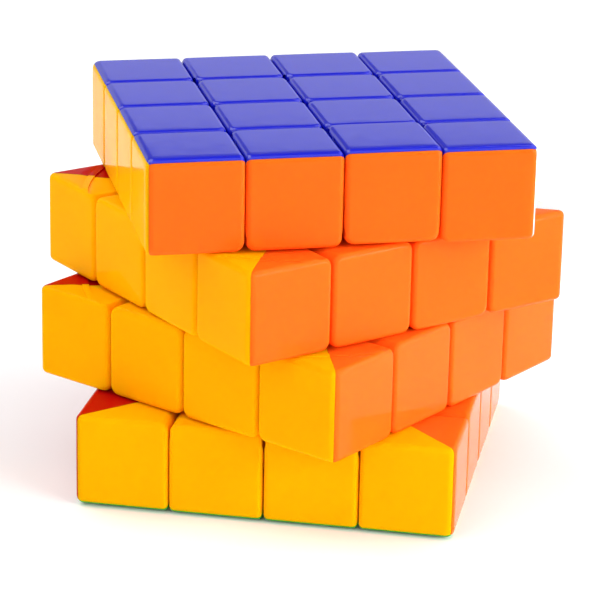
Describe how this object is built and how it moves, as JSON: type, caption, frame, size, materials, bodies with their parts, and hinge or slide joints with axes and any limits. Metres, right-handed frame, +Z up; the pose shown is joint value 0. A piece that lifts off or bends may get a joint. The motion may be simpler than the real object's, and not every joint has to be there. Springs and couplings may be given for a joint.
{
  "type": "twisty puzzle cube",
  "caption": "Stickerless layered puzzle cube with rounded coloured cubies on a grooved ball core; every layer turns about the vertical axis, shown part-turned.",
  "frame": {"origin": "on the ground, on the turning axis of the layers, at the centre of the bottom layer's underside", "axes": "+Z up along the turning axis; the bottom layer's four sides face +X, -X, +Y and -Y, with its yellow side towards -Y, which the picture's camera looks at from about ten degrees to the right"},
  "size_m": [0.0866, 0.0866, 0.062],
  "materials": {
    "blue_plastic": "gloss",
    "orange_plastic": "gloss",
    "yellow_plastic": "gloss",
    "red_plastic": "gloss",
    "white_plastic": "gloss",
    "green_plastic": "gloss",
    "ball_plastic": "matt",
    "steel": "bright"
  },
  "bodies": {
    "bottom_layer": {"bottom_centre_green_1": "green_plastic", "bottom_centre_green_2": "green_plastic", "bottom_centre_green_3": "green_plastic", "bottom_centre_green_4": "green_plastic", "bottom_corner_green_orange_white": "green_plastic", "bottom_corner_green_orange_yellow": "green_plastic", "bottom_corner_green_red_white": "green_plastic", "bottom_corner_green_red_yellow": "green_plastic", "bottom_wing_green_orange_1": "green_plastic", "bottom_wing_green_orange_2": "green_plastic", "bottom_wing_green_red_1": "green_plastic", "bottom_wing_green_red_2": "green_plastic", "bottom_wing_green_white_1": "green_plastic", "bottom_wing_green_white_2": "green_plastic", "bottom_wing_green_yellow_1": "green_plastic", "bottom_wing_green_yellow_2": "green_plastic"},
    "lower_slice": {"ball_lower_half": "ball_plastic", "ball_screw": "steel", "ball_spring": "steel", "ball_upper_half": "ball_plastic", "lower_centre_orange_1": "orange_plastic", "lower_centre_orange_2": "orange_plastic", "lower_centre_red_1": "red_plastic", "lower_centre_red_2": "red_plastic", "lower_centre_white_1": "white_plastic", "lower_centre_white_2": "white_plastic", "lower_centre_yellow_1": "yellow_plastic", "lower_centre_yellow_2": "yellow_plastic", "lower_wing_orange_white": "orange_plastic", "lower_wing_orange_yellow": "orange_plastic", "lower_wing_red_white": "red_plastic", "lower_wing_red_yellow": "red_plastic"},
    "upper_slice": {"upper_centre_orange_1": "orange_plastic", "upper_centre_orange_2": "orange_plastic", "upper_centre_red_1": "red_plastic", "upper_centre_red_2": "red_plastic", "upper_centre_white_1": "white_plastic", "upper_centre_white_2": "white_plastic", "upper_centre_yellow_1": "yellow_plastic", "upper_centre_yellow_2": "yellow_plastic", "upper_wing_orange_white": "orange_plastic", "upper_wing_orange_yellow": "orange_plastic", "upper_wing_red_white": "red_plastic", "upper_wing_red_yellow": "red_plastic"},
    "top_layer": {"top_centre_blue_1": "blue_plastic", "top_centre_blue_2": "blue_plastic", "top_centre_blue_3": "blue_plastic", "top_centre_blue_4": "blue_plastic", "top_corner_blue_orange_white": "blue_plastic", "top_corner_blue_orange_yellow": "blue_plastic", "top_corner_blue_red_white": "blue_plastic", "top_corner_blue_red_yellow": "blue_plastic", "top_wing_blue_orange_1": "blue_plastic", "top_wing_blue_orange_2": "blue_plastic", "top_wing_blue_red_1": "blue_plastic", "top_wing_blue_red_2": "blue_plastic", "top_wing_blue_white_1": "blue_plastic", "top_wing_blue_white_2": "blue_plastic", "top_wing_blue_yellow_1": "blue_plastic", "top_wing_blue_yellow_2": "blue_plastic"}
  },
  "joints": [
    {"name": "lower_slice_turn", "type": "hinge", "parent": "bottom_layer", "child": "lower_slice", "pos_m": [0, 0, 0.031], "axis": [0, 0, 1], "continuous": true},
    {"name": "upper_slice_turn", "type": "hinge", "parent": "bottom_layer", "child": "upper_slice", "pos_m": [0, 0, 0.031], "axis": [0, 0, 1], "continuous": true},
    {"name": "top_layer_turn", "type": "hinge", "parent": "bottom_layer", "child": "top_layer", "pos_m": [0, 0, 0.031], "axis": [0, 0, 1], "continuous": true}
  ]
}
